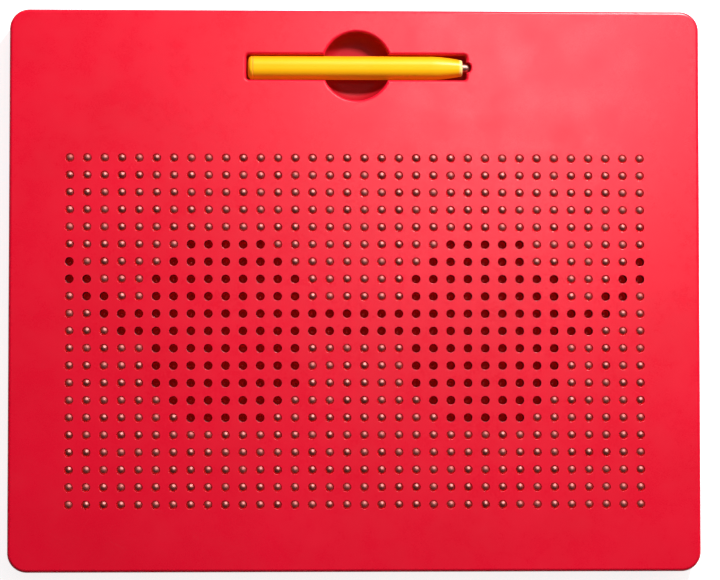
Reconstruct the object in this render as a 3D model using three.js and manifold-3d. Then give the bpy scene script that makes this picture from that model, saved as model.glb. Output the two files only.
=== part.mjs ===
// Magnetic bead drawing board. A stylus with a magnetic tip pulls steel beads up to the face of the
// board, where a rubber sheet holds them, and a fingertip pushes them back down.
//
// Millimetres. +Z points out of the drawing face, +Y towards the stylus tray, +X to the right.
// The origin is under the middle of the board, on the plane that its moulded feet stand on.

import * as THREE from 'three';
import { mergeVertices } from 'three/addons/utils/BufferGeometryUtils.js';
import Module from 'manifold-3d';

const wasm = await Module();
wasm.setup();

// ---------------------------------------------------------------- driving dimensions

const GAP = 0.1; // assembly clearance between neighbouring pieces
const OVERSHOOT = 1; // how far a cutter runs past the face that it opens

// Casing
const BOARD_WIDTH = 320;
const BOARD_DEPTH = 260;
const CORNER_RADIUS = 9;
const EDGE_RADIUS = 1.6;
const WALL = 2.4;
const FACE_THICKNESS = 2.7;
const BACK_THICKNESS = 2;
const FOOT_HEIGHT = 0.8;
const TOP_Z = 13; // the drawing face
const SEAM_Z = 4.2; // the front cover's lower edge
const SEAM_GAP = 0.25;
const LIP_HEIGHT = 1.4; // the back cover's tongue, inside the front cover's wall
const LIP_THICKNESS = 1.2;
const BACK_INNER_Z = FOOT_HEIGHT + BACK_THICKNESS;
const FACE_INNER_Z = TOP_Z - FACE_THICKNESS;

// Bead grid
const COLUMNS = 34;
const ROWS = 21;
const PITCH = 8;
const GRID_Y = -19; // the grid's middle
const BEAD_RADIUS = 2.25;
const BEAD_PROUD = 0.7; // how far a raised bead stands out of the face
const RAISED_Z = TOP_Z + BEAD_PROUD - BEAD_RADIUS;
const LOWERED_Z = BACK_INNER_Z + GAP + BEAD_RADIUS;

// A row's beads hang together on a thin rail beside them: raised beads on +Y, lowered ones on -Y
const RAIL_INNER_Y = BEAD_RADIUS + GAP;
const RAIL_OUTER_Y = RAIL_INNER_Y + 0.3;
const RAIL_HEIGHT = 0.6;
const RAIL_GRIP_Y = RAIL_INNER_Y + 0.2; // where a bead's side ends inside its rail
const SLOT_WIDTH = 2 * (RAIL_OUTER_Y + GAP);
const SLOT_LENGTH = (COLUMNS - 1) * PITCH + 2 * (BEAD_RADIUS + GAP);

// Plates between the covers: the rubber sheet under the face, and the bead guide that backs it
const PLATE_WIDTH = 278;
const PLATE_DEPTH = 172;
const SHEET_THICKNESS = 0.5;
const SHEET_Z = FACE_INNER_Z - GAP - SHEET_THICKNESS;
const GUIDE_Z = BACK_INNER_Z + GAP;
const PLATE_RIB = 1.2; // the wall inside the front cover that locates the plates
const PLATE_RIB_Z = SHEET_Z - 2;

// Stylus tray
const TRAY_X = 0.4;
const TRAY_Y = 103.4;
const TRAY_LENGTH = 102;
const TRAY_WIDTH = 12.8;
const TRAY_FLOOR_Z = 4.9;
const TIP_NOTCH_LENGTH = 2.6;
const TIP_NOTCH_WIDTH = 5.4;
const TIP_NOTCH_FLOOR_Z = 7;
const FINGER_Y = TRAY_Y + 0.5;
const FINGER_RADIUS = 16.6;
const FINGER_FLOOR_Z = 4.4;
const TRAY_WALL = 1.4;

// Stylus, along +X, its tip on the right
const STYLUS_FLATS = 9.9; // the hexagon's width across its flats
const STYLUS_CORNER_RADIUS = STYLUS_FLATS / Math.sqrt(3);
const BARREL_LENGTH = 97.4;
const NOSE_LENGTH = 12;
const NOSE_SCALE = 0.7;
const NOSE_MIDDLE_SCALE = 0.91; // a third of the way down the nose, which bulges a little
const END_CAP_LENGTH = 2.2;
const TIP_RADIUS = 2.1;
const TIP_LENGTH = 3.6;
const TIP_FLANGE_LENGTH = 1;
const BARREL_BORE_RADIUS = 2.6;
const NOSE_WALL = 2;
const MAGNET_LENGTH = 12;
const STYLUS_LENGTH = END_CAP_LENGTH + BARREL_LENGTH + TIP_LENGTH;
const TRAY_ROOM = TRAY_LENGTH + TIP_NOTCH_LENGTH - STYLUS_LENGTH;
const STYLUS_X = TRAY_X - TRAY_LENGTH / 2 + TRAY_ROOM / 2; // the cap's outer end
const STYLUS_Z = TRAY_FLOOR_Z + GAP + STYLUS_FLATS / 2;

// Screws, driven from the back into bosses under the face
const SCREW_HEAD_RADIUS = 2.8;
const SCREW_HEAD_HEIGHT = 1.7;
const SCREW_RADIUS = 1.3;
const SCREW_LENGTH = 6.2; // under the head
const COUNTERBORE_RADIUS = 3.2;
const COUNTERBORE_Z = 3.4; // the seat under the screw's head
const CUP_TOP_Z = 4.9;
const CUP_RADIUS = 4.7;
const BOSS_RADIUS = 3.6;
const SCREW_SPOTS = [
  [148, 117], [-148, 117], [148, -117], [-148, -117],
  [148, 0], [-148, 0], [85, 117], [-85, 117], [50, -117], [-50, -117],
];

const FOOT_SPOTS = [[128, 104], [-128, 104], [128, -104], [-128, -104]];
const FOOT_SIZE = [30, 10];

const CORNER_STEPS = 5;
const BEVEL_STEPS = 2;
const ROUND_STEPS = 8;
const FINGER_STEPS = 32;

// ---------------------------------------------------------------- solids

// A closed three.js geometry as a manifold-3d solid.
function solid(geometry) {
  const bare = geometry.index ? geometry.toNonIndexed() : geometry.clone();
  bare.deleteAttribute('normal');
  bare.deleteAttribute('uv');
  const merged = mergeVertices(bare, 1e-4);
  return new wasm.Manifold(new wasm.Mesh({
    numProp: 3,
    vertProperties: merged.attributes.position.array,
    triVerts: new Uint32Array(merged.index.array),
  }));
}

function geometryOf(shape) {
  const mesh = shape.getMesh();
  return new THREE.BufferGeometry()
    .setAttribute('position', new THREE.BufferAttribute(mesh.vertProperties, mesh.numProp))
    .setIndex(new THREE.BufferAttribute(mesh.triVerts, 1));
}

const joined = (shapes) => shapes.reduce((whole, shape) => whole.add(shape));
const without = (shape, cutters) => shape.subtract(joined(cutters));

function box(width, depth, x, y, z0, z1) {
  return solid(new THREE.BoxGeometry(width, depth, z1 - z0).translate(x, y, (z0 + z1) / 2));
}

function roundBar(radius, x, y, z0, z1, steps = ROUND_STEPS) {
  return solid(new THREE.CylinderGeometry(radius, radius, z1 - z0, steps)
    .rotateX(Math.PI / 2).translate(x, y, (z0 + z1) / 2));
}

function roundedRectangle(width, depth, radius) {
  const x = width / 2 - radius;
  const y = depth / 2 - radius;
  return new THREE.Shape()
    .absarc(x, y, radius, 0, Math.PI / 2)
    .absarc(-x, y, radius, Math.PI / 2, Math.PI)
    .absarc(-x, -y, radius, Math.PI, Math.PI * 1.5)
    .absarc(x, -y, radius, Math.PI * 1.5, Math.PI * 2);
}

function slab(outline, z0, z1) {
  return solid(new THREE.ExtrudeGeometry(outline, {
    depth: z1 - z0, bevelEnabled: false, curveSegments: CORNER_STEPS,
  }).translate(0, 0, z0));
}

// The board's outer form, its long edges rounded at the top and at the bottom.
function boardBlank() {
  const outline = roundedRectangle(BOARD_WIDTH, BOARD_DEPTH, CORNER_RADIUS);
  return solid(new THREE.ExtrudeGeometry(outline, {
    depth: TOP_Z - FOOT_HEIGHT - 2 * EDGE_RADIUS,
    bevelThickness: EDGE_RADIUS,
    bevelSize: EDGE_RADIUS,
    bevelOffset: -EDGE_RADIUS,
    bevelSegments: BEVEL_STEPS,
    curveSegments: CORNER_STEPS,
  }).translate(0, 0, FOOT_HEIGHT + EDGE_RADIUS));
}

// The board's outline moved inwards by an inset.
function insetSlab(inset, z0, z1) {
  const outline = roundedRectangle(
    BOARD_WIDTH - 2 * inset, BOARD_DEPTH - 2 * inset, CORNER_RADIUS - inset,
  );
  return slab(outline, z0, z1);
}

const boardBox = (z0, z1) => box(BOARD_WIDTH + OVERSHOOT, BOARD_DEPTH + OVERSHOOT, 0, 0, z0, z1);

// ---------------------------------------------------------------- bead grid

const columnX = (column) => (column - (COLUMNS - 1) / 2) * PITCH;
const rowY = (row) => GRID_Y + ((ROWS - 1) / 2 - row) * PITCH;
const rowNumbers = Array.from({ length: ROWS }, (_, row) => row);

// The picture on the board: lowered beads draw a pair of spectacles. Rows count from the top, and
// the right half mirrors the left. One bead at the right lens's corner was left up.
function isLowered(column, row) {
  const fromSide = Math.min(column, COLUMNS - 1 - column);
  const across = Math.abs(fromSide - 9);
  const along = Math.abs(row - 10);
  const lens = across <= 4 && along <= 5 && across + along <= 7;
  const bridge = (row === 9 || row === 10) && fromSide >= 4;
  const temple = row >= 6 && row <= 10 && (fromSide === row - 7 || fromSide === row - 6);
  const leftUp = column === 27 && row === 6;
  return (lens || bridge || temple) && !leftUp;
}

// One bead, coarse: an octahedron on the ball's six outermost points, with the point on its rail's
// side drawn out into the rail.
function bead(column, railSide) {
  const geometry = new THREE.OctahedronGeometry(BEAD_RADIUS);
  const points = geometry.attributes.position;
  for (let i = 0; i < points.count; i += 1) {
    if (points.getY(i) * railSide > BEAD_RADIUS / 2) points.setY(i, railSide * RAIL_GRIP_Y);
  }
  return solid(geometry.translate(columnX(column), 0, 0));
}

// All the beads of one row that stand at the same height, on their rail, centred on the row.
function beadRow(row, lowered) {
  const columns = [];
  for (let column = 0; column < COLUMNS; column += 1) {
    if (isLowered(column, row) === lowered) columns.push(column);
  }
  if (columns.length === 0) return null;
  const railSide = lowered ? -1 : 1;
  const start = columnX(columns[0]) - RAIL_HEIGHT;
  const end = columnX(columns[columns.length - 1]) + RAIL_HEIGHT;
  const rail = box(
    end - start, RAIL_OUTER_Y - RAIL_INNER_Y,
    (start + end) / 2, railSide * (RAIL_INNER_Y + RAIL_OUTER_Y) / 2,
    -RAIL_HEIGHT / 2, RAIL_HEIGHT / 2,
  );
  return joined([rail, ...columns.map((column) => bead(column, railSide))]);
}

const rowSlots = (z0, z1) => rowNumbers.map((row) => (
  box(SLOT_LENGTH, SLOT_WIDTH, 0, rowY(row), z0, z1)
));

// A plate under the whole grid, open along each row.
function gridPlate(z0, z1) {
  const blank = box(PLATE_WIDTH, PLATE_DEPTH, 0, GRID_Y, z0, z1);
  return without(blank, rowSlots(z0 - OVERSHOOT, z1 + OVERSHOOT));
}

// ---------------------------------------------------------------- covers

function plateRib() {
  const clear = 2 * GAP;
  const frame = (grow, z0) => box(
    PLATE_WIDTH + 2 * grow, PLATE_DEPTH + 2 * grow, 0, GRID_Y, z0, FACE_INNER_Z + GAP,
  );
  return frame(clear + PLATE_RIB, PLATE_RIB_Z).subtract(frame(clear, PLATE_RIB_Z - OVERSHOOT));
}

// The tray as a solid, grown by a wall, from given floors up to a given height.
function trayForm(grow, floorDrop, topZ) {
  const trayEnd = TRAY_X + TRAY_LENGTH / 2;
  return joined([
    box(TRAY_LENGTH + 2 * grow, TRAY_WIDTH + 2 * grow, TRAY_X, TRAY_Y,
      TRAY_FLOOR_Z - floorDrop, topZ),
    box(2 * (TIP_NOTCH_LENGTH + grow), TIP_NOTCH_WIDTH + 2 * grow, trayEnd, TRAY_Y,
      TIP_NOTCH_FLOOR_Z - floorDrop, topZ),
    roundBar(FINGER_RADIUS + grow, TRAY_X, FINGER_Y, FINGER_FLOOR_Z - floorDrop, topZ, FINGER_STEPS),
  ]);
}

function frontCover() {
  const shell = boardBlank()
    .intersect(boardBox(SEAM_Z, TOP_Z + OVERSHOOT))
    .subtract(insetSlab(WALL, SEAM_Z - OVERSHOOT, FACE_INNER_Z));
  const bosses = SCREW_SPOTS.map(([x, y]) => (
    roundBar(BOSS_RADIUS, x, y, CUP_TOP_Z + GAP, FACE_INNER_Z + GAP)
  ));
  const pilots = SCREW_SPOTS.map(([x, y]) => (
    roundBar(SCREW_RADIUS + GAP, x, y, CUP_TOP_Z - OVERSHOOT, FACE_INNER_Z)
  ));
  const trayShell = trayForm(TRAY_WALL, TRAY_WALL, FACE_INNER_Z + GAP);
  return without(joined([shell, plateRib(), trayShell, ...bosses]), [
    trayForm(0, 0, TOP_Z + OVERSHOOT),
    ...rowSlots(FACE_INNER_Z - OVERSHOOT, TOP_Z + OVERSHOOT),
    ...pilots,
  ]);
}

function backCover() {
  const shell = boardBlank()
    .intersect(boardBox(0, SEAM_Z - SEAM_GAP))
    .subtract(insetSlab(WALL, BACK_INNER_Z, SEAM_Z));
  const lipInset = WALL + GAP;
  const lip = insetSlab(lipInset, BACK_INNER_Z - GAP, SEAM_Z + LIP_HEIGHT)
    .subtract(insetSlab(lipInset + LIP_THICKNESS, BACK_INNER_Z - OVERSHOOT, TOP_Z));
  const feet = FOOT_SPOTS.map(([x, y]) => box(...FOOT_SIZE, x, y, 0, FOOT_HEIGHT + GAP));
  const cups = SCREW_SPOTS.map(([x, y]) => (
    roundBar(CUP_RADIUS, x, y, BACK_INNER_Z - GAP, CUP_TOP_Z)
  ));
  const screwHoles = SCREW_SPOTS.flatMap(([x, y]) => [
    roundBar(COUNTERBORE_RADIUS, x, y, -OVERSHOOT, COUNTERBORE_Z),
    roundBar(SCREW_RADIUS + 2 * GAP, x, y, 0, CUP_TOP_Z + OVERSHOOT),
  ]);
  return without(joined([shell, lip, ...feet, ...cups]), screwHoles);
}

// ---------------------------------------------------------------- screw and stylus

// A pan-head self-tapping screw with a cross recess. Its head's seat is at the origin, and its
// thread runs up +Z.
function screw() {
  const point = SCREW_RADIUS * 0.4;
  const profile = [
    [0, -SCREW_HEAD_HEIGHT], [SCREW_HEAD_RADIUS * 0.8, -SCREW_HEAD_HEIGHT],
    [SCREW_HEAD_RADIUS, -SCREW_HEAD_HEIGHT * 0.6], [SCREW_HEAD_RADIUS, 0],
    [SCREW_RADIUS, 0], [SCREW_RADIUS, SCREW_LENGTH - 1], [point, SCREW_LENGTH], [0, SCREW_LENGTH],
  ].map(([radius, z]) => new THREE.Vector2(radius, z));
  const body = solid(new THREE.LatheGeometry(profile, ROUND_STEPS).rotateX(Math.PI / 2));
  const recessTop = 1 - SCREW_HEAD_HEIGHT;
  const recess = (width, depth) => box(
    width, depth, 0, 0, -SCREW_HEAD_HEIGHT - OVERSHOOT, recessTop,
  );
  return without(body, [recess(3.2, 0.8), recess(0.8, 3.2)]);
}

// A closed form along +X whose cross-sections are hexagons with a flat on top.
// Each station is [x, scale].
function hexagonalForm(stations) {
  const profile = [[stations[0][0], 0], ...stations, [stations.at(-1)[0], 0]]
    .map(([x, scale]) => new THREE.Vector2(scale * STYLUS_CORNER_RADIUS, x));
  // The lathe turns about Y with a corner on Z: stand Y along X, and that corner on Y.
  return solid(new THREE.LatheGeometry(profile, 6).rotateX(Math.PI / 2).rotateY(Math.PI / 2));
}

// A round form along +X. Each station is [x, radius].
function turnedForm(stations) {
  const profile = [[stations[0][0], 0], ...stations, [stations.at(-1)[0], 0]]
    .map(([x, radius]) => new THREE.Vector2(radius, x));
  return solid(new THREE.LatheGeometry(profile, 12).rotateX(Math.PI / 2).rotateY(Math.PI / 2));
}

const barrelEnd = END_CAP_LENGTH + BARREL_LENGTH;
const boreEnd = barrelEnd - NOSE_WALL;

function stylusBarrel() {
  const start = END_CAP_LENGTH + GAP;
  const outside = hexagonalForm([
    [start, 1], [barrelEnd - NOSE_LENGTH, 1],
    [barrelEnd - NOSE_LENGTH * 2 / 3, NOSE_MIDDLE_SCALE], [barrelEnd - 0.6, NOSE_SCALE],
    [barrelEnd, NOSE_SCALE * 0.9],
  ]);
  return without(outside, [
    turnedForm([[start - OVERSHOOT, BARREL_BORE_RADIUS], [boreEnd, BARREL_BORE_RADIUS]]),
    turnedForm([[boreEnd - GAP, TIP_RADIUS + GAP], [barrelEnd + OVERSHOOT, TIP_RADIUS + GAP]]),
  ]);
}

function stylusEndCap() {
  const plug = turnedForm([
    [END_CAP_LENGTH - GAP, BARREL_BORE_RADIUS - GAP], [END_CAP_LENGTH + 6, BARREL_BORE_RADIUS - GAP],
  ]);
  return hexagonalForm([[0, 0.64], [0.6, 0.88], [1.4, 1], [END_CAP_LENGTH, 1]]).add(plug);
}

function stylusTip() {
  const flangeRadius = BARREL_BORE_RADIUS - GAP;
  const flangeEnd = boreEnd - GAP;
  return turnedForm([
    [flangeEnd - TIP_FLANGE_LENGTH, flangeRadius], [flangeEnd, flangeRadius],
    [flangeEnd, TIP_RADIUS], [barrelEnd + TIP_LENGTH - 0.9, TIP_RADIUS],
    [barrelEnd + TIP_LENGTH - 0.25, TIP_RADIUS * 0.75], [barrelEnd + TIP_LENGTH, TIP_RADIUS * 0.3],
  ]);
}

function stylusMagnet() {
  const end = boreEnd - 2 * GAP - TIP_FLANGE_LENGTH;
  const radius = BARREL_BORE_RADIUS - 2 * GAP;
  return turnedForm([[end - MAGNET_LENGTH, radius], [end, radius]]);
}

// ---------------------------------------------------------------- materials and assembly

function material(color, roughness, metalness = 0) {
  return new THREE.MeshStandardMaterial({ color, roughness, metalness });
}

const redPlastic = material(0xe8192c, 0.4);
const greyRubber = material(0x3a3a3c, 0.8);
const yellowPlastic = material(0xf5c614, 0.35);
const beadSteel = material(0xc9c7c4, 0.18, 1);
const screwSteel = material(0x8f9296, 0.35, 1);
const magnetMetal = material(0x9da0a5, 0.3, 1);

function mesh(name, shape, look, x = 0, y = 0, z = 0) {
  const piece = new THREE.Mesh(geometryOf(shape), look);
  piece.name = name;
  piece.position.set(x, y, z);
  return piece;
}

const board = new THREE.Group();
board.add(
  mesh('front_cover', frontCover(), redPlastic),
  mesh('back_cover', backCover(), redPlastic),
  mesh('retaining_sheet', gridPlate(SHEET_Z, SHEET_Z + SHEET_THICKNESS), greyRubber),
  mesh('bead_guide', gridPlate(GUIDE_Z, SHEET_Z - GAP), redPlastic),
);

const screwShape = screw();
SCREW_SPOTS.forEach(([x, y], i) => {
  const number = String(i + 1).padStart(2, '0');
  board.add(mesh(`screw_${number}`, screwShape, screwSteel, x, y, COUNTERBORE_Z - GAP));
});

for (const row of rowNumbers) {
  for (const lowered of [false, true]) {
    const beads = beadRow(row, lowered);
    if (!beads) continue;
    const name = `bead_row_${String(row + 1).padStart(2, '0')}_${lowered ? 'lowered' : 'raised'}`;
    board.add(mesh(name, beads, beadSteel, 0, rowY(row), lowered ? LOWERED_Z : RAISED_Z));
  }
}

const stylus = new THREE.Group();
stylus.position.set(STYLUS_X, TRAY_Y, STYLUS_Z);
stylus.add(
  mesh('stylus_barrel', stylusBarrel(), yellowPlastic),
  mesh('stylus_end_cap', stylusEndCap(), yellowPlastic),
  mesh('stylus_tip', stylusTip(), beadSteel),
  mesh('stylus_magnet', stylusMagnet(), magnetMetal),
);
board.add(stylus);

export default board;
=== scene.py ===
"""Looks of the magnetic bead drawing board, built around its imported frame.

Metres, in the frame's own axes: +Z out of the drawing face, +Y towards the stylus tray, +X to the
right. Each piece is a closed mesh made from lofted rings, cut and joined with booleans.
"""

import math

import bmesh
import bpy
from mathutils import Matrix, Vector

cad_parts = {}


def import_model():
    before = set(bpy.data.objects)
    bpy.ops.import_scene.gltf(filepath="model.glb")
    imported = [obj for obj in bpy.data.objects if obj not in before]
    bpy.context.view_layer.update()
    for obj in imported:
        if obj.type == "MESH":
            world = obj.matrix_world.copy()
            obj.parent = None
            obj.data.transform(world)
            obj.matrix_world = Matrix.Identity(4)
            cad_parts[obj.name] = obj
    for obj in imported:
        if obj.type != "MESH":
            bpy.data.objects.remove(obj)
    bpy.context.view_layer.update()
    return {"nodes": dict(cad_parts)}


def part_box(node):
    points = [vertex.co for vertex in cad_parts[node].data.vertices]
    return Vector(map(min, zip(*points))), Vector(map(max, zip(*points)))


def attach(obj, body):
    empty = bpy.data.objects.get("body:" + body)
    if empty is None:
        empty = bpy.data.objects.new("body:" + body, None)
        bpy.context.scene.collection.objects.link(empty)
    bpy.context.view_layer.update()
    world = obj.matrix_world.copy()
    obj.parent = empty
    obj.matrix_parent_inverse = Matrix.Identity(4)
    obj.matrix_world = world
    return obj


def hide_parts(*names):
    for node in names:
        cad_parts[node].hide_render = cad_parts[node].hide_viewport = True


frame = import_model()

MM = 0.001

# ------------------------------------------------------------------ sizes from the frame

cover_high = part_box("front_cover")[1]
sheet_low, sheet_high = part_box("retaining_sheet")
guide_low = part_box("bead_guide")[0]
barrel_low, barrel_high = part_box("stylus_barrel")
cap_low, cap_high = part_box("stylus_end_cap")
tip_low, tip_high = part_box("stylus_tip")
magnet_low, magnet_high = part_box("stylus_magnet")
first_row_low, first_row_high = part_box("bead_row_01_raised")

TOP = cover_high.z
WIDTH = 2 * cover_high.x
DEPTH = 2 * cover_high.y
BEAD_RADIUS = (first_row_high.z - first_row_low.z) / 2
STYLUS_Y = (barrel_low.y + barrel_high.y) / 2
STYLUS_Z = (barrel_low.z + barrel_high.z) / 2
STYLUS_FLATS = barrel_high.z - barrel_low.z

# ------------------------------------------------------------------ sizes shared with the design

CORNER_RADIUS = 9 * MM
EDGE_RADIUS = 1.6 * MM
WALL = 2.4 * MM
FOOT_HEIGHT = 0.8 * MM
BACK_INNER_Z = 2.8 * MM
GAP = guide_low.z - BACK_INNER_Z
FACE_INNER_Z = sheet_high.z + GAP
SEAM_Z = 4.2 * MM
SEAM_GAP = 0.25 * MM
LIP_HEIGHT = 1.4 * MM
LIP_THICKNESS = 1.2 * MM
RIB_THICKNESS = 1.2 * MM
RIB_DROP = 2 * MM

HOLE_RADIUS = 2.0 * MM
HOLE_RIM = 0.22 * MM
HOLE_LIP = 0.44 * MM
HOLE_CONE = 0.9 * MM
COVER_BORE_RADIUS = 2.35 * MM
SHEET_HOLE_RADIUS = 1.85 * MM
GUIDE_BORE_RADIUS = 2.4 * MM

TRAY_X = 0.4 * MM
TRAY_LENGTH = 102 * MM
TRAY_WIDTH = 11.6 * MM
TRAY_FLOOR_Z = 4.9 * MM
TRAY_WALL = 1.4 * MM
TRAY_RIM = 1.4 * MM
TRAY_CORNER = 1.2 * MM
TRAY_FILLET = 0.8 * MM
NOTCH_LENGTH = 2.2 * MM
NOTCH_WIDTH = 4.8 * MM
NOTCH_CORNER = 2.2 * MM
NOTCH_FLOOR_Z = 7 * MM
NOTCH_FILLET = 0.6 * MM
NOTCH_RIM = 0.8 * MM
FINGER_Y = STYLUS_Y + 0.5 * MM
FINGER_RADIUS = 15.8 * MM
FINGER_FLOOR_Z = 4.4 * MM
FINGER_FILLET = 5.5 * MM

SCREW_RADIUS = 1.3 * MM
SCREW_HEAD_RADIUS = 2.8 * MM
SCREW_HEAD_HEIGHT = 1.7 * MM
SCREW_LENGTH = 6.2 * MM
SCREW_CORE_RADIUS = SCREW_RADIUS * 0.78
THREAD_PITCH = 1.0 * MM
CROSS_LENGTH = 3.2 * MM
CROSS_WIDTH = 0.8 * MM
CROSS_DEPTH = 1.0 * MM
COUNTERBORE_RADIUS = 3.2 * MM
SCREW_SEAT_Z = 3.4 * MM
CUP_TOP_Z = 4.9 * MM
CUP_RADIUS = 4.7 * MM
BOSS_RADIUS = 3.6 * MM

FOOT_X = 128 * MM
FOOT_Y = 104 * MM
FOOT_LENGTH = 30 * MM
FOOT_WIDTH = 10 * MM

NOSE_LENGTH = 14.4 * MM
NOSE_SCALE = 0.7
NOSE_BULGE = 1.6
NOSE_ROUND = 0.8 * MM
CAP_DOME = 1.9 * MM
HEX_CORNER = 4.2 * MM
HEX_SPREAD = 1.08
BARREL_BORE_RADIUS = 2.6 * MM
TIP_RADIUS = 2.1 * MM
NOSE_WALL = 2 * MM

# How finely round things are divided
HOLE_STEPS = 20
PLATE_HOLE_STEPS = 16
CORNER_STEPS = 12
CIRCLE_STEPS = 32
FINGER_STEPS = 96
HEX_SIDE_STEPS = 8
BEAD_AROUND = 24
BEAD_UP = 12

# How far a cutter reaches past the face that it opens
OVERSHOOT = 1 * MM

# ------------------------------------------------------------------ lights and camera

KEY_PLACE = (0.345, 0.69, 0.665)
KEY_DIRECTION = Vector(KEY_PLACE).normalized()
KEY_SIZE = 0.14
KEY_POWER = 15.4
KEY_GLOW = 0.35
KEY_GLOW_FROM = 0.70
KEY_GLOW_TO = 0.93
SHEEN_PLACE = (0.215, 0.335, 1.5)
SHEEN_SIZE = 0.3
SHEEN_POWER = 2.6
PANEL_PLACE = (0.42, 1.10, 0.98)
PANEL_SIZE = 1.3
PANEL_POWER = 12.5
SKY_GLOW = 0.05
HORIZON_GLOW = 0.45
FLOOR_GLOW = 0.84
BACKDROP = (0.96, 0.96, 0.96, 1)

CAMERA_DISTANCE = 1.0
CAMERA_AIM_X = 2.05 * MM
CAMERA_LEAN_X = math.radians(-1.56)
CAMERA_LEAN_Y = math.radians(-1.93)
CAMERA_LENS = 108.15


# ------------------------------------------------------------------ rings and lofts

def turn(count):
    """Evenly spaced angles round a full turn."""
    return [2 * math.pi * i / count for i in range(count)]


def circle(x, y, radius, count=CIRCLE_STEPS):
    """A round outline in plan: inset and height give its ring of points."""
    def ring(inset, z):
        size = radius - inset
        return [Vector((x + size * math.cos(a), y + size * math.sin(a), z)) for a in turn(count)]
    return ring


def rectangle(x, y, width, depth, radius, steps=CORNER_STEPS):
    """A round-cornered rectangular outline in plan."""
    def ring(inset, z):
        corner = max(radius - inset, 0.05 * MM)
        reach_x = width / 2 - inset - corner
        reach_y = depth / 2 - inset - corner
        points = []
        for quadrant, (side_x, side_y) in enumerate(((1, 1), (-1, 1), (-1, -1), (1, -1))):
            for i in range(steps + 1):
                angle = math.pi / 2 * (quadrant + i / steps)
                points.append(Vector((
                    x + side_x * reach_x + corner * math.cos(angle),
                    y + side_y * reach_y + corner * math.sin(angle),
                    z,
                )))
        return points
    return ring


def rounding(radius, steps=4):
    """(inset, rise) pairs up a quarter round that starts on a wall and ends on the face above."""
    angles = [math.pi / 2 * i / steps for i in range(steps + 1)]
    return [(radius * (1 - math.cos(a)), radius * math.sin(a)) for a in angles]


def rounded_top(top, radius, steps=4):
    return [(inset, top - radius + rise) for inset, rise in rounding(radius, steps)]


def rounded_bottom(bottom, radius, steps=4):
    rising = [(inset, bottom + radius - rise) for inset, rise in rounding(radius, steps)]
    return rising[::-1]


def flared_top(top, radius, steps=3):
    """The top of a cutter that leaves a rounded rim round its opening."""
    flare = [(-inset, top - radius + rise) for inset, rise in rounding(radius, steps)]
    return flare + [(-radius, top + OVERSHOOT)]


def add_loft(mesh, rings, closed=False):
    """Skins rings of points. The last ring joins the first when closed, else both ends are capped."""
    loops = [[mesh.verts.new(point) for point in ring] for ring in rings]
    pairs = list(zip(loops, loops[1:]))
    if closed:
        pairs.append((loops[-1], loops[0]))
    for lower, upper in pairs:
        for i, vertex in enumerate(lower):
            j = (i + 1) % len(lower)
            mesh.faces.new((vertex, lower[j], upper[j], upper[i]))
    if not closed:
        mesh.faces.new(loops[0][::-1])
        mesh.faces.new(loops[-1])


def add_stack(mesh, outline, profile):
    """A solid whose plan outline changes with height. profile holds (inset, z) pairs, lowest first."""
    add_loft(mesh, [outline(inset, z) for inset, z in profile])


def solid(name, mesh):
    data = bpy.data.meshes.new(name)
    mesh.to_mesh(data)
    mesh.free()
    made = bpy.data.objects.new(name, data)
    bpy.context.scene.collection.objects.link(made)
    return made


def stack(name, outline, profile):
    mesh = bmesh.new()
    add_stack(mesh, outline, profile)
    return solid(name, mesh)


def combine(target, other, operation):
    """Joins or cuts target with other, which is used up."""
    modifier = target.modifiers.new("combine", "BOOLEAN")
    modifier.operation = operation
    modifier.solver = "MANIFOLD"
    modifier.object = other
    evaluated = target.evaluated_get(bpy.context.evaluated_depsgraph_get())
    data = bpy.data.meshes.new_from_object(evaluated)
    target.modifiers.clear()
    old = target.data
    target.data = data
    bpy.data.meshes.remove(old)
    used = other.data
    bpy.data.objects.remove(other)
    bpy.data.meshes.remove(used)


def cut(target, *others):
    for other in others:
        combine(target, other, "DIFFERENCE")


def join(target, *others):
    for other in others:
        combine(target, other, "UNION")


def shade(piece, sharp_degrees=35):
    """Smooth shading with hard creases, and flat faces kept flat next to small rounded ones."""
    piece.data.shade_smooth()
    piece.data.set_sharp_from_angle(angle=math.radians(sharp_degrees))
    normals = piece.modifiers.new("normals", "WEIGHTED_NORMAL")
    normals.keep_sharp = True


def dress(piece, material, body, slot, *nodes):
    """Gives a piece its material and its body, and hides the CAD nodes that it stands for."""
    piece.data.materials.clear()
    piece.data.materials.append(material)
    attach(piece, body)
    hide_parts(*nodes)
    return piece


# ------------------------------------------------------------------ material nodes

def add_node(tree, kind, inputs=None, **settings):
    """Adds a shader node. inputs maps sockets to values or to other nodes' outputs."""
    made = tree.nodes.new("ShaderNode" + kind)
    for key, value in settings.items():
        setattr(made, key, value)
    for socket, value in (inputs or {}).items():
        if isinstance(value, bpy.types.NodeSocket):
            tree.links.new(value, made.inputs[socket])
        else:
            made.inputs[socket].default_value = value
    return made


def new_material(name):
    material = bpy.data.materials.new(name)
    material.use_nodes = True
    material.node_tree.nodes.clear()
    return material, material.node_tree


def place_of(tree):
    return add_node(tree, "TexCoord").outputs["Object"]


def noise(tree, size, detail=2.0, roughness=0.5, place=None):
    """Soft noise with features of about the given size."""
    return add_node(tree, "TexNoise", {
        "Vector": place or place_of(tree), "Scale": 1 / size, "Detail": detail,
        "Roughness": roughness,
    }).outputs["Fac"]


def remap(tree, value, low, high, out_low=0.0, out_high=1.0):
    return add_node(tree, "MapRange", {
        "Value": value, "From Min": low, "From Max": high, "To Min": out_low, "To Max": out_high,
    }).outputs["Result"]


def arithmetic(tree, operation, *values):
    return add_node(tree, "Math", dict(enumerate(values)), operation=operation).outputs[0]


def mixed(tree, share, first, second):
    """Mixes two colours, each a value or an output."""
    return add_node(tree, "Mix", {"Factor": share, 6: first, 7: second},
                    data_type="RGBA").outputs[2]


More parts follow.
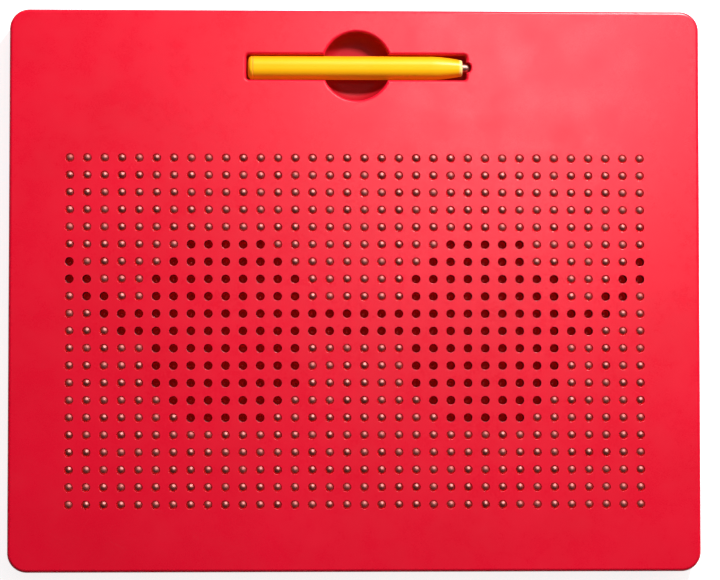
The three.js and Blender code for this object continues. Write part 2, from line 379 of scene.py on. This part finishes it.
def bumped(tree, height, distance, strength=1.0, below=None):
    inputs = {"Height": height, "Distance": distance, "Strength": strength}
    if below:
        inputs["Normal"] = below
    return add_node(tree, "Bump", inputs).outputs["Normal"]


def scratches(tree, size, amount, spin):
    """Thin straight marks in one direction, 0 to 1. amount is the share of noise that shows."""
    turned = add_node(tree, "VectorRotate", {"Vector": place_of(tree), "Rotation": (0, 0, spin)},
                      rotation_type="EULER_XYZ").outputs["Vector"]
    stretched = add_node(tree, "VectorMath", {0: turned, 1: (0.035, 1, 0.3)},
                         operation="MULTIPLY").outputs[0]
    lines = noise(tree, size, 3, 0.6, stretched)
    patches = remap(tree, noise(tree, 22 * MM, 2), 0.45, 0.7)
    return arithmetic(tree, "MULTIPLY", remap(tree, lines, 0.72 - amount, 0.78 - amount), patches)


def edges(tree, reach):
    """1 within about reach of a crease or a tight round, 0 on flat or gently curved faces."""
    softened = add_node(tree, "Bevel", {"Radius": reach}, samples=4).outputs["Normal"]
    plain = add_node(tree, "NewGeometry").outputs["Normal"]
    agreement = add_node(tree, "VectorMath", {0: softened, 1: plain}, operation="DOT_PRODUCT")
    return remap(tree, agreement.outputs["Value"], 0.99, 0.85)


def surface(tree, inputs):
    shader = add_node(tree, "BsdfPrincipled", inputs)
    add_node(tree, "OutputMaterial", {"Surface": shader.outputs[0]})


def inside_tray(tree, start, end):
    """1 in the tray and its finger recess, reached between two depths under the face; 0 elsewhere."""
    from_middle = add_node(tree, "VectorMath", {0: place_of(tree), 1: (TRAY_X, STYLUS_Y, TOP)},
                           operation="SUBTRACT").outputs[0]
    x, y, z = add_node(tree, "SeparateXYZ", {0: from_middle}).outputs
    margin = 4 * MM
    near_x = arithmetic(tree, "COMPARE", x, 0, TRAY_LENGTH / 2 + margin)
    near_y = arithmetic(tree, "COMPARE", y, 0, FINGER_RADIUS + margin)
    near_z = arithmetic(tree, "COMPARE", z, 0, TOP - FINGER_FLOOR_Z + 0.1 * MM)
    near = arithmetic(tree, "MULTIPLY", arithmetic(tree, "MULTIPLY", near_x, near_y), near_z)
    return arithmetic(tree, "MULTIPLY", near, remap(tree, z, -start, -end))


def tray_matt_painted_shade_and_glow(tree, inputs):
    """The tray is matt. Its colour is painted deeper than the face's as painted shade, and it has a
    faint painted glow for light through the thin plastic.
    """
    # Painted shade: the colour of the tray and recess is darkened below the face.
    deep = inside_tray(tree, 0.4 * MM, 1.3 * MM)
    inputs["Base Color"] = mixed(tree, deep, inputs["Base Color"], (0.36, 0.0026, 0.010, 1))
    # Painted glow, standing in for light through the thin plastic and for bounced light.
    inputs["Emission Color"] = (1, 0.012, 0.006, 1)
    inputs["Emission Strength"] = arithmetic(tree, "MULTIPLY", deep, 0.035)
    matt = inside_tray(tree, 0.02 * MM, 0.15 * MM)
    inputs["Roughness"] = arithmetic(tree, "ADD", inputs["Roughness"],
                                     arithmetic(tree, "MULTIPLY", matt, 0.3))
    inputs["Specular IOR Level"] = remap(tree, matt, 0, 1, 0.5, 0.2)


def stylus_painted_light(tree, inputs):
    """Translucent yellow with painted light: a faint orange painted glow, orange painted shade at a
    slant, and a cream painted highlight at the nose end.
    """
    # Painted shade: orange at a slant, for the shaded flanks of the translucent pen.
    slant = add_node(tree, "LayerWeight", {"Blend": 0.5}).outputs["Facing"]
    tone = mixed(tree, remap(tree, slant, 0.1, 0.6, 0, 0.5), inputs["Base Color"],
                 (0.90, 0.16, 0.004, 1))
    # Painted highlight: the nose end is made cream, as if its rounded end caught the light.
    along = add_node(tree, "SeparateXYZ", {0: place_of(tree)}).outputs["X"]
    paler_edge = remap(tree, along, barrel_high.x - 1.8 * MM, barrel_high.x - 0.6 * MM, 0, 0.6)
    inputs["Base Color"] = mixed(tree, paler_edge, tone, (1.0, 0.86, 0.42, 1))
    # Painted glow: a faint orange glow for light scattered in the translucent plastic.
    inputs["Emission Color"] = (1, 0.20, 0.004, 1)
    inputs["Emission Strength"] = 0.26
    inputs["Specular IOR Level"] = 0.3


def guide_painted_glow(tree, inputs):
    """A faint painted glow, for the light that comes through the red plastic into the holes."""
    # Painted glow: the guide glows faintly red.
    inputs["Emission Color"] = (1, 0.012, 0.006, 1)
    inputs["Emission Strength"] = 0.06


def moulded_plastic(name, colour, deep, pale_edge_colour, roughness, grain_size, grain_depth, finish=None):
    """Injection-moulded plastic: spark grain, slight sink waviness, handling marks, and paler edges
    that are partly rubbed wear and partly a painted highlight. The finish given adds more, such as
    matt areas, painted shade, painted glow or a painted highlight.
    """
    material, tree = new_material(name)
    mottle = remap(tree, noise(tree, 45 * MM, 3), 0.3, 0.7)
    speck = remap(tree, noise(tree, 0.7 * MM, 2), 0.35, 0.65)
    tone = mixed(tree, arithmetic(tree, "MULTIPLY", mottle, 0.6), colour, deep)
    tone = mixed(tree, arithmetic(tree, "MULTIPLY", speck, 0.10), tone, deep)
    # Paler edges: partly rubbed wear, partly a painted highlight where the rounds catch the light.
    paler_edge = arithmetic(tree, "MULTIPLY", edges(tree, 0.5 * MM),
                        remap(tree, noise(tree, 5 * MM, 3), 0.35, 0.65, 0.1, 0.6))
    tone = mixed(tree, paler_edge, tone, pale_edge_colour)
    marks = arithmetic(tree, "MAXIMUM", scratches(tree, 0.9 * MM, 0.06, 0.5),
                       scratches(tree, 1.3 * MM, 0.05, 2.2))
    smudges = remap(tree, noise(tree, 16 * MM, 4, 0.6), 0.35, 0.7, -0.03, 0.04)
    grain = noise(tree, grain_size, 3, 0.6)
    gloss = arithmetic(tree, "ADD", arithmetic(tree, "ADD", smudges, roughness),
                       remap(tree, grain, 0.3, 0.7, -0.03, 0.03))
    gloss = arithmetic(tree, "ADD", gloss, arithmetic(tree, "MULTIPLY", marks, 0.12))
    wavy = bumped(tree, noise(tree, 14 * MM, 1), 0.05 * MM, 0.35)
    scratched = bumped(tree, arithmetic(tree, "SUBTRACT", 1.0, marks), 0.012 * MM, 0.6, wavy)
    normal = bumped(tree, grain, grain_depth, 1.0, scratched)
    inputs = {"Base Color": tone, "Roughness": gloss, "IOR": 1.5, "Normal": normal}
    if finish:
        finish(tree, inputs)
    surface(tree, inputs)
    return material


def polished_steel(name, colour, roughness, cell, painted_slant_reflection=None):
    """Bearing steel, each cell-sized block with its own polish. The optional colour at a slant is a
    painted reflection of what is round the steel.
    """
    material, tree = new_material(name)
    place = place_of(tree)
    block = add_node(tree, "VectorMath", {0: place, 1: (cell, cell, 1)}, operation="SNAP").outputs[0]
    own = add_node(tree, "TexWhiteNoise", {"Vector": block}).outputs["Value"]
    haze = remap(tree, noise(tree, 1.2 * MM, 4, 0.65), 0.35, 0.7)
    darker = tuple(0.72 * c for c in colour[:3]) + (1,)
    tone = mixed(tree, arithmetic(tree, "MULTIPLY", haze, remap(tree, own, 0, 1, 0.15, 0.6)),
                 colour, darker)
    if painted_slant_reflection:
        # Painted reflection: the steel takes on the colour round it at a slant.
        slant = add_node(tree, "LayerWeight", {"Blend": 0.5}).outputs["Facing"]
        tone = mixed(tree, remap(tree, slant, 0.15, 0.5), tone, painted_slant_reflection)
    fine = scratches(tree, 0.35 * MM, 0.12, 0.9)
    gloss = arithmetic(tree, "ADD", remap(tree, own, 0, 1, roughness * 0.8, roughness * 1.3),
                       arithmetic(tree, "MULTIPLY", haze, 0.08))
    gloss = arithmetic(tree, "ADD", gloss, arithmetic(tree, "MULTIPLY", fine, 0.10))
    normal = bumped(tree, noise(tree, 0.5 * MM, 3), 0.004 * MM, 0.5)
    surface(tree, {"Base Color": tone, "Metallic": 1.0, "Roughness": gloss, "Normal": normal})
    return material


def plated_steel(name, colour, roughness):
    """Zinc-plated steel with a cloudy passivation film and a turned finish."""
    material, tree = new_material(name)
    cloud = remap(tree, noise(tree, 1.6 * MM, 4, 0.6), 0.3, 0.7)
    warm = (colour[0] * 0.95, colour[1] * 0.88, colour[2] * 0.72, 1)
    tone = mixed(tree, cloud, colour, warm)
    place = place_of(tree)
    rings = add_node(tree, "TexWave", {
        "Vector": place, "Scale": 1 / (0.9 * MM), "Distortion": 1.2, "Detail": 2,
    }, wave_type="RINGS", rings_direction="Z").outputs["Fac"]
    gloss = arithmetic(tree, "ADD", remap(tree, cloud, 0, 1, roughness, roughness + 0.15),
                       remap(tree, rings, 0, 1, 0, 0.08))
    normal = bumped(tree, rings, 0.01 * MM, 0.5)
    surface(tree, {"Base Color": tone, "Metallic": 1.0, "Roughness": gloss, "Normal": normal})
    return material


def rubber(name, colour, dusty):
    """Calendered rubber sheet: matt, slightly dusty, with a fine leathery grain."""
    material, tree = new_material(name)
    dust = remap(tree, noise(tree, 6 * MM, 4, 0.6), 0.4, 0.75, 0, 0.35)
    tone = mixed(tree, dust, colour, dusty)
    grain = noise(tree, 0.4 * MM, 3, 0.6)
    normal = bumped(tree, grain, 0.03 * MM, 0.7)
    surface(tree, {
        "Base Color": tone, "Roughness": remap(tree, grain, 0.3, 0.7, 0.65, 0.85),
        "Normal": normal, "Sheen Weight": 0.1,
    })
    return material


cover_red = moulded_plastic(
    "cover_red", (0.85, 0.003, 0.028, 1), (0.76, 0.002, 0.021, 1), (0.92, 0.07, 0.09, 1),
    0.29, 0.28 * MM, 0.008 * MM, tray_matt_painted_shade_and_glow,
)
guide_red = moulded_plastic(
    "guide_red", (0.80, 0.004, 0.012, 1), (0.70, 0.003, 0.009, 1), (0.85, 0.06, 0.06, 1),
    0.5, 0.4 * MM, 0.02 * MM, guide_painted_glow,
)
stylus_yellow = moulded_plastic(
    "stylus_yellow", (0.84, 0.49, 0.004, 1), (0.80, 0.44, 0.003, 1), (1.0, 0.78, 0.26, 1),
    0.4, 0.35 * MM, 0.004 * MM, stylus_painted_light,
)
for glowing in (cover_red, guide_red, stylus_yellow):
    glowing.cycles.emission_sampling = "NONE"
sheet_rubber = rubber("sheet_rubber", (0.045, 0.035, 0.035, 1), (0.13, 0.10, 0.10, 1))
# Painted reflection: the beads' pink tint and their red at a slant stand for the red board reflected
# in the steel.
bead_steel = polished_steel("bead_steel", (0.98, 0.43, 0.40, 1), 0.42, 8 * MM, (0.95, 0.06, 0.05, 1))
tip_steel = polished_steel("tip_steel", (0.96, 0.74, 0.62, 1), 0.40, 30 * MM)
magnet_nickel = polished_steel("magnet_nickel", (0.72, 0.69, 0.62, 1), 0.22, 30 * MM)
screw_zinc = plated_steel("screw_zinc", (0.62, 0.63, 0.64, 1), 0.28)


# ------------------------------------------------------------------ bead rows

def row_number(node):
    return int(node.split("_")[2])


def bead_centres(node):
    """Where a row node's beads are: its coarse beads' top points, one radius down."""
    low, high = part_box(node)
    tops = [v.co for v in frame["nodes"][node].data.vertices if high.z - v.co.z < 0.05 * MM]
    spots = {round(co.x / MM, 1): co for co in tops}
    return [Vector((co.x, co.y, high.z - BEAD_RADIUS)) for _, co in sorted(spots.items())]


def add_bead(mesh, centre):
    """A ball: rings of points between two poles."""
    poles = [mesh.verts.new(centre + Vector((0, 0, side * BEAD_RADIUS))) for side in (-1, 1)]
    rings = []
    for level in range(1, BEAD_UP):
        angle = math.pi * (level / BEAD_UP - 0.5)
        ring = circle(centre.x, centre.y, BEAD_RADIUS * math.cos(angle), BEAD_AROUND)
        points = ring(0, centre.z + BEAD_RADIUS * math.sin(angle))
        rings.append([mesh.verts.new(point) for point in points])
    for i in range(BEAD_AROUND):
        j = (i + 1) % BEAD_AROUND
        mesh.faces.new((poles[0], rings[0][j], rings[0][i]))
        mesh.faces.new((poles[1], rings[-1][i], rings[-1][j]))
        for lower, upper in zip(rings, rings[1:]):
            mesh.faces.new((lower[i], lower[j], upper[j], upper[i]))


def bead_row(node):
    mesh = bmesh.new()
    for centre in bead_centres(node):
        add_bead(mesh, centre)
    piece = solid("beads_" + node.removeprefix("bead_row_"), mesh)
    piece.data.shade_smooth()
    return dress(piece, bead_steel, node, "bead_steel", node)


row_nodes = sorted(n for n in frame["nodes"] if n.startswith("bead_row_"))
for node in row_nodes:
    bead_row(node)

columns = [centre.x for centre in bead_centres("bead_row_01_raised")]
rows = sorted({row_number(n): bead_centres(n)[0].y for n in row_nodes}.values())
grid = [(x, y) for y in rows for x in columns]


# ------------------------------------------------------------------ covers

screw_nodes = sorted(n for n in frame["nodes"] if n.startswith("screw_"))


def middle(node):
    low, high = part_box(node)
    return (low + high) / 2


screw_spots = [(middle(n).x, middle(n).y) for n in screw_nodes]


def board_outline():
    return rectangle(0, 0, WIDTH, DEPTH, CORNER_RADIUS)


def many(name, spots, outline_at, profile):
    """The same solid at several places, in one mesh."""
    mesh = bmesh.new()
    for x, y in spots:
        add_stack(mesh, outline_at(x, y), profile)
    return solid(name, mesh)


def bead_holes():
    """Cutters for the cover's holes, lowest ring first: bore, cone, lip, rounded rim."""
    lip_z = TOP - HOLE_LIP
    widening = HOLE_RADIUS - COVER_BORE_RADIUS
    profile = [
        (widening, FACE_INNER_Z - OVERSHOOT), (widening, TOP - HOLE_CONE), (0, lip_z),
        *flared_top(TOP, HOLE_RIM, 2),
    ]
    return many("bead_holes", grid, lambda x, y: circle(x, y, HOLE_RADIUS, HOLE_STEPS), profile)


def tray_solids(grow, drop, top, rims):
    """The tray, its tip notch and its finger recess: as pockets, or as the walls round them."""
    def finish(floor, fillet, rim):
        lower = rounded_bottom(floor - drop, fillet + grow, 6)
        return lower + (flared_top(top, rim, 5) if rims else [(0, top)])
    notch_x = TRAY_X + TRAY_LENGTH / 2
    return [
        stack("tray", rectangle(TRAY_X, STYLUS_Y, TRAY_LENGTH + 2 * grow, TRAY_WIDTH + 2 * grow,
                                TRAY_CORNER + grow), finish(TRAY_FLOOR_Z, TRAY_FILLET, TRAY_RIM)),
        stack("notch", rectangle(notch_x, STYLUS_Y, 2 * (NOTCH_LENGTH + grow),
                                 NOTCH_WIDTH + 2 * grow, NOTCH_CORNER + grow),
              finish(NOTCH_FLOOR_Z, NOTCH_FILLET, NOTCH_RIM)),
        stack("finger", circle(TRAY_X, FINGER_Y, FINGER_RADIUS + grow, FINGER_STEPS),
              finish(FINGER_FLOOR_Z, FINGER_FILLET, TRAY_RIM)),
    ]


def plate_rib():
    """The wall round the plates' edges, moulded under the face."""
    width = sheet_high.x - sheet_low.x + 4 * GAP
    depth = sheet_high.y - sheet_low.y + 4 * GAP
    y = (sheet_low.y + sheet_high.y) / 2
    foot = sheet_low.z - RIB_DROP
    rib = stack("rib", rectangle(0, y, width + 2 * RIB_THICKNESS, depth + 2 * RIB_THICKNESS,
                                 2 * MM, 4), [(0, foot), (0, FACE_INNER_Z + GAP)])
    cut(rib, stack("rib_inside", rectangle(0, y, width, depth, 0.8 * MM, 4),
                   [(0, foot - OVERSHOOT), (0, TOP)]))
    return rib


def front_cover():
    skirt = [(0.3 * MM, SEAM_Z), (0, SEAM_Z + 0.3 * MM)]
    cover = stack("front_cover_shell", board_outline(), skirt + rounded_top(TOP, EDGE_RADIUS, 6))
    cut(cover, stack("cavity", board_outline(), [
        (WALL, SEAM_Z - OVERSHOOT), (WALL, FACE_INNER_Z - 0.6 * MM), (WALL + 0.6 * MM, FACE_INNER_Z),
    ]))
    join(
        cover,
        plate_rib(),
        many("bosses", screw_spots, lambda x, y: circle(x, y, BOSS_RADIUS), [
            (0.2 * MM, CUP_TOP_Z + GAP), (0, CUP_TOP_Z + GAP + 0.2 * MM), (0, FACE_INNER_Z + GAP),
        ]),
        *tray_solids(TRAY_WALL, TRAY_WALL, FACE_INNER_Z + GAP, False),
    )
    cut(
        cover,
        *tray_solids(0, 0, TOP, True),
        many("pilots", screw_spots, lambda x, y: circle(x, y, SCREW_RADIUS + GAP, 16),
             [(0, CUP_TOP_Z - OVERSHOOT), (0, FACE_INNER_Z)]),
        bead_holes(),
    )
    shade(cover)
    return dress(cover, cover_red, "board", "cover_red", "front_cover")


def back_cover():
    cover = stack("back_cover_shell", board_outline(), [
        *rounded_bottom(FOOT_HEIGHT, EDGE_RADIUS, 6),
        (0, SEAM_Z - SEAM_GAP - 0.3 * MM), (0.3 * MM, SEAM_Z - SEAM_GAP),
    ])
    cut(cover, stack("tub", board_outline(), [(WALL, BACK_INNER_Z), (WALL, TOP)]))
    lip = stack("lip", board_outline(), [
        (WALL + GAP, BACK_INNER_Z - GAP), (WALL + GAP, SEAM_Z + LIP_HEIGHT - 0.3 * MM),
        (WALL + GAP + 0.3 * MM, SEAM_Z + LIP_HEIGHT),
    ])
    lip_inset = WALL + GAP + LIP_THICKNESS
    cut(lip, stack("lip_inside", board_outline(), [(lip_inset, 0), (lip_inset, TOP)]))
    foot_spots = [(x, y) for x in (-FOOT_X, FOOT_X) for y in (-FOOT_Y, FOOT_Y)]
    join(
        cover,
        lip,
        many("feet", foot_spots, lambda x, y: rectangle(x, y, FOOT_LENGTH, FOOT_WIDTH, 4.8 * MM),
             [*rounded_bottom(0, 0.35 * MM, 3), (0, FOOT_HEIGHT + GAP)]),
        many("cups", screw_spots, lambda x, y: circle(x, y, CUP_RADIUS),
             [(0, BACK_INNER_Z - GAP), (0, CUP_TOP_Z - 0.3 * MM), (0.3 * MM, CUP_TOP_Z)]),
    )
    bore_inset = COUNTERBORE_RADIUS - SCREW_RADIUS - 2 * GAP
    rim = 0.3 * MM
    cut(cover, many("screw_holes", screw_spots, lambda x, y: circle(x, y, COUNTERBORE_RADIUS), [
        (-rim, -OVERSHOOT), (-rim, FOOT_HEIGHT), (0, FOOT_HEIGHT + rim),
        (0, SCREW_SEAT_Z), (bore_inset, SCREW_SEAT_Z), (bore_inset, CUP_TOP_Z + OVERSHOOT),
    ]))
    shade(cover)
    return dress(cover, cover_red, "board", "cover_red", "back_cover")


def perforated_plate(name, node, corner, hole_radius, edge):
    """A plate of the CAD plate's size with one hole for each bead."""
    low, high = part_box(node)
    centre = (low + high) / 2
    plate = stack(name, rectangle(centre.x, centre.y, high.x - low.x, high.y - low.y, corner, 4), [
        (edge, low.z), (0, low.z + edge), (0, high.z - edge), (edge, high.z),
    ])
    cut(plate, many("holes", grid, lambda x, y: circle(x, y, hole_radius, PLATE_HOLE_STEPS), [
        (0, low.z - OVERSHOOT), (0, high.z + OVERSHOOT),
    ]))
    shade(plate)
    return plate


face = front_cover()
back_cover()
dress(perforated_plate("rubber_sheet", "retaining_sheet", 1 * MM, SHEET_HOLE_RADIUS, 0.08 * MM),
      sheet_rubber, "board", "sheet_rubber", "retaining_sheet")
dress(perforated_plate("bead_guide_plate", "bead_guide", 1 * MM, GUIDE_BORE_RADIUS, 0.3 * MM),
      guide_red, "board", "guide_plastic", "bead_guide")


# ------------------------------------------------------------------ screws

def screw_thread():
    """A ridge wound round the core, which grows out of it and dies back into it."""
    per_turn = 16
    count = (int(SCREW_LENGTH / THREAD_PITCH) - 1) * per_turn
    root = SCREW_CORE_RADIUS - 0.1 * MM
    half = 0.32 * MM
    flat = 0.06 * MM
    rings = []
    for i in range(count + 1):
        angle = 2 * math.pi * i / per_turn
        base = 0.7 * MM + THREAD_PITCH * i / per_turn
        grown = max(min(1.0, i / 6, (count - i) / 10), 0.05)
        crest = SCREW_CORE_RADIUS + (SCREW_RADIUS - SCREW_CORE_RADIUS) * grown
        rings.append([
            Vector((r * math.cos(angle), r * math.sin(angle), base + rise))
            for r, rise in ((root, -half), (crest, -flat), (crest, flat), (root, half))
        ])
    mesh = bmesh.new()
    add_loft(mesh, rings[::-1])
    return solid("thread", mesh)


def screw_mesh():
    """A pan-head screw with a cross recess, standing on its head's seat at the origin."""
    underside = -SCREW_HEAD_HEIGHT
    head = stack("screw_shape", circle(0, 0, SCREW_HEAD_RADIUS), [
        *rounded_bottom(underside, 0.75 * MM, 5), (0, -0.1 * MM), (0.08 * MM, 0),
    ])
    shaft = stack("shaft", circle(0, 0, SCREW_CORE_RADIUS, 16), [
        (0, -0.2 * MM), (0, SCREW_LENGTH - 1.2 * MM), (SCREW_CORE_RADIUS * 0.75, SCREW_LENGTH),
    ])
    join(head, shaft, screw_thread())
    for width, depth in ((CROSS_LENGTH, CROSS_WIDTH), (CROSS_WIDTH, CROSS_LENGTH)):
        cut(head, stack("slot", rectangle(0, 0, width, depth, 0.2 * MM, 3), [
            (-0.1 * MM, underside - OVERSHOOT), (0, underside),
            (0.25 * MM, underside + CROSS_DEPTH),
        ]))
    shade(head, 40)
    return head


def screws():
    pattern = screw_mesh()
    for node in screw_nodes:
        piece = pattern.copy()
        piece.name = "cross_head_" + node
        piece.data = pattern.data
        piece.location = (middle(node).x, middle(node).y, SCREW_SEAT_Z - GAP)
        bpy.context.scene.collection.objects.link(piece)
        dress(piece, screw_zinc, "board", "screw_steel", node)
    bpy.data.objects.remove(pattern)


screws()


# ------------------------------------------------------------------ stylus

def hexagon(x, flats, corner, spread=HEX_SPREAD):
    """A round-cornered hexagon across the stylus's axis at x, a flat on top. spread widens it."""
    reach = (flats / 2 - corner) / math.cos(math.pi / 6)
    points = []
    for side in turn(6):
        for i in range(HEX_SIDE_STEPS):
            angle = side + math.pi / 3 * ((i + 0.5) / HEX_SIDE_STEPS - 0.5)
            points.append(Vector((
                x,
                STYLUS_Y + spread * (reach * math.cos(side) + corner * math.cos(angle)),
                STYLUS_Z + reach * math.sin(side) + corner * math.sin(angle),
            )))
    return points


def round_section(x, radius):
    return hexagon(x, 2 * radius, radius, 1)


def stylus_part(name, rings, material, slot, node, closed=False, sharp=32):
    mesh = bmesh.new()
    add_loft(mesh, rings, closed)
    piece = solid(name, mesh)
    shade(piece, sharp)
    return dress(piece, material, "stylus", slot, node)


def nose_rings():
    """The barrel's outside from where the nose starts to narrow to its rounded end."""
    start = barrel_high.x - NOSE_LENGTH
    round_start = barrel_high.x - NOSE_ROUND
    end_flats = STYLUS_FLATS * NOSE_SCALE
    steps = 8
    rings = []
    for i in range(steps + 1):
        along = i / steps
        flats = STYLUS_FLATS + (end_flats - STYLUS_FLATS) * along ** NOSE_BULGE
        x = start + (round_start - start) * along
        rings.append(hexagon(x, flats, HEX_CORNER * flats / STYLUS_FLATS))
    for inset, rise in rounding(NOSE_ROUND, 4)[1:]:
        rings.append(hexagon(round_start + rise, end_flats - 2 * inset,
                             HEX_CORNER * NOSE_SCALE - inset))
    return rings


def stylus_barrel():
    """A tube that is a rounded hexagon outside and round inside, narrowest at the nose."""
    left = barrel_low.x
    right = barrel_high.x
    bore_end = right - NOSE_WALL
    edge = 0.25 * MM
    rings = [
        hexagon(left, STYLUS_FLATS - 2 * edge, HEX_CORNER - edge),
        hexagon(left + edge, STYLUS_FLATS, HEX_CORNER),
        *nose_rings(),
        round_section(right, TIP_RADIUS + 2 * GAP),
        round_section(right - 0.2 * MM, TIP_RADIUS + GAP),
        round_section(bore_end, TIP_RADIUS + GAP),
        round_section(bore_end, BARREL_BORE_RADIUS),
        round_section(left, BARREL_BORE_RADIUS),
    ]
    return stylus_part("stylus_body", rings, stylus_yellow, "stylus_yellow", "stylus_barrel",
                       closed=True)


def stylus_end_cap():
    """A domed hexagonal plug whose spigot fits the barrel's bore."""
    left = cap_low.x
    seat = barrel_low.x - GAP
    spigot = BARREL_BORE_RADIUS - GAP
    rings = []
    for inset, rise in rounding(CAP_DOME, 6)[::-1]:
        flats = STYLUS_FLATS - 2 * inset
        corner = min(HEX_CORNER + inset * 0.6, flats / 2)
        rings.append(hexagon(left + CAP_DOME - rise, flats, corner))
    rings += [
        hexagon(seat - 0.2 * MM, STYLUS_FLATS, HEX_CORNER),
        hexagon(seat, STYLUS_FLATS - 0.4 * MM, HEX_CORNER),
        round_section(seat, spigot),
        round_section(cap_high.x - 0.3 * MM, spigot),
        round_section(cap_high.x, spigot - 0.3 * MM),
    ]
    return stylus_part("stylus_plug", rings, stylus_yellow, "stylus_yellow", "stylus_end_cap")


def stylus_tip():
    """A turned steel pin: a flange inside the nose and a rounded point outside it."""
    flange_end = barrel_high.x - NOSE_WALL - GAP
    flange = BARREL_BORE_RADIUS - GAP
    rings = [
        round_section(tip_low.x, flange), round_section(flange_end, flange),
        round_section(flange_end, TIP_RADIUS),
    ]
    point = TIP_RADIUS * 0.8
    for inset, rise in rounding(point, 6):
        rings.append(round_section(tip_high.x - point + rise, TIP_RADIUS - inset))
    return stylus_part("stylus_point", rings, tip_steel, "tip_steel", "stylus_tip")


def stylus_magnet():
    edge = 0.2 * MM
    radius = (magnet_high.z - magnet_low.z) / 2
    rings = [
        round_section(magnet_low.x, radius - edge), round_section(magnet_low.x + edge, radius),
        round_section(magnet_high.x - edge, radius), round_section(magnet_high.x, radius - edge),
    ]
    return stylus_part("rod_magnet", rings, magnet_nickel, "magnet_nickel", "stylus_magnet")


stylus_barrel()
stylus_end_cap()
stylus_tip()
stylus_magnet()


# ------------------------------------------------------------------ floor, lights, camera

def floor():
    """Pale paper. To the camera it also glows a little, so that shadows on it stay light."""
    mesh = bmesh.new()
    reach = 3.0
    corners = [(-reach, -reach, 0), (reach, -reach, 0), (reach, reach, 0), (-reach, reach, 0)]
    mesh.faces.new([mesh.verts.new(corner) for corner in corners])
    ground = solid("floor", mesh)
    material, tree = new_material("floor_paper")
    grain = noise(tree, 3 * MM, 3)
    surface(tree, {
        "Base Color": mixed(tree, grain, (0.88, 0.88, 0.88, 1), (0.92, 0.92, 0.92, 1)),
        "Roughness": 0.8, "Specular IOR Level": 0.1, "Emission Color": (1, 1, 1, 1),
        "Emission Strength": seen_by_camera(tree, FLOOR_GLOW),
    })
    ground.data.materials.append(material)


def seen_by_camera(tree, amount):
    """The amount for camera rays, and nothing for light that falls on the object."""
    straight = add_node(tree, "LightPath").outputs["Is Camera Ray"]
    return arithmetic(tree, "MULTIPLY", straight, amount)


def area_light(name, place, aim, size, power):
    light = bpy.data.lights.new(name, "AREA")
    light.shape = "SQUARE"
    light.size = size
    light.energy = power
    lamp = bpy.data.objects.new(name, light)
    lamp.location = place
    lamp.rotation_euler = (Vector(aim) - Vector(place)).to_track_quat("-Z", "Y").to_euler()
    bpy.context.scene.collection.objects.link(lamp)
    return lamp


def only_on(lamp, name, pieces):
    """Limits a lamp's light to some of the pieces. All of them still cast its shadows."""
    receivers = bpy.data.collections.new(name)
    for piece in pieces:
        receivers.objects.link(piece)
    lamp.light_linking.receiver_collection = receivers


def lights(face):
    """A small key, and two panels that only show as reflections: in the cover and in bare steel."""
    pieces = [o for o in bpy.context.scene.objects if o.type == "MESH"]
    steel = [o for o in pieces if o.name.startswith("beads_") or o.name == "stylus_point"]
    key = area_light("key", KEY_PLACE, (0, 0, 0), KEY_SIZE, KEY_POWER)
    only_on(key, "key_receivers", [o for o in pieces if o not in steel])
    sheen = area_light("sheen", SHEEN_PLACE, (0, 0, 0), SHEEN_SIZE, SHEEN_POWER)
    sheen.visible_diffuse = False
    only_on(sheen, "sheen_receivers", [face])
    panel = area_light("panel", PANEL_PLACE, (0, 0, 0), PANEL_SIZE, PANEL_POWER)
    only_on(panel, "panel_receivers", steel)


def world():
    """A dark studio that glows round the key and along the horizon, redder in reflections.

    To the camera it is plain and pale.
    """
    sky = bpy.data.worlds.new("studio")
    sky.use_nodes = True
    tree = sky.node_tree
    tree.nodes.clear()
    direction = add_node(tree, "TexCoord").outputs["Generated"]
    towards_key = add_node(tree, "VectorMath", {0: direction, 1: KEY_DIRECTION},
                           operation="DOT_PRODUCT").outputs["Value"]
    glow = add_node(tree, "MapRange", {
        "Value": towards_key, "From Min": KEY_GLOW_FROM, "From Max": KEY_GLOW_TO,
        "To Max": KEY_GLOW,
    }, interpolation_type="SMOOTHSTEP").outputs["Result"]
    height = add_node(tree, "SeparateXYZ", {0: direction}).outputs["Z"]
    horizon = arithmetic(tree, "MULTIPLY", remap(tree, height, 0.0, 0.35, HORIZON_GLOW, SKY_GLOW),
                         remap(tree, towards_key, -0.5, 0.5, 0.6, 1.0))
    ray = add_node(tree, "LightPath").outputs
    lit = add_node(tree, "Background", {
        "Color": mixed(tree, ray["Is Glossy Ray"], (1, 0.92, 0.92, 1), (1, 0.20, 0.17, 1)),
        "Strength": arithmetic(tree, "ADD", glow, horizon),
    })
    plain = add_node(tree, "Background", {"Color": BACKDROP})
    mix = add_node(tree, "MixShader",
                   {0: ray["Is Camera Ray"], 1: lit.outputs[0], 2: plain.outputs[0]})
    add_node(tree, "OutputWorld", {"Surface": mix.outputs[0]})
    bpy.context.scene.world = sky


def camera():
    """Straight above, leaning a little towards the lower left."""
    lean = Vector((math.sin(CAMERA_LEAN_X), math.sin(CAMERA_LEAN_Y), 1)).normalized()
    view = bpy.data.cameras.new("camera")
    view.sensor_width = 36
    view.lens = CAMERA_LENS
    eye = bpy.data.objects.new("camera", view)
    eye.location = Vector((CAMERA_AIM_X, 0, TOP)) + CAMERA_DISTANCE * lean
    eye.rotation_euler = (-math.asin(lean.y), math.atan2(lean.x, lean.z), 0)
    bpy.context.scene.collection.objects.link(eye)
    bpy.context.scene.camera = eye


floor()
world()
lights(face)
camera()
bpy.context.scene.view_settings.view_transform = "Standard"
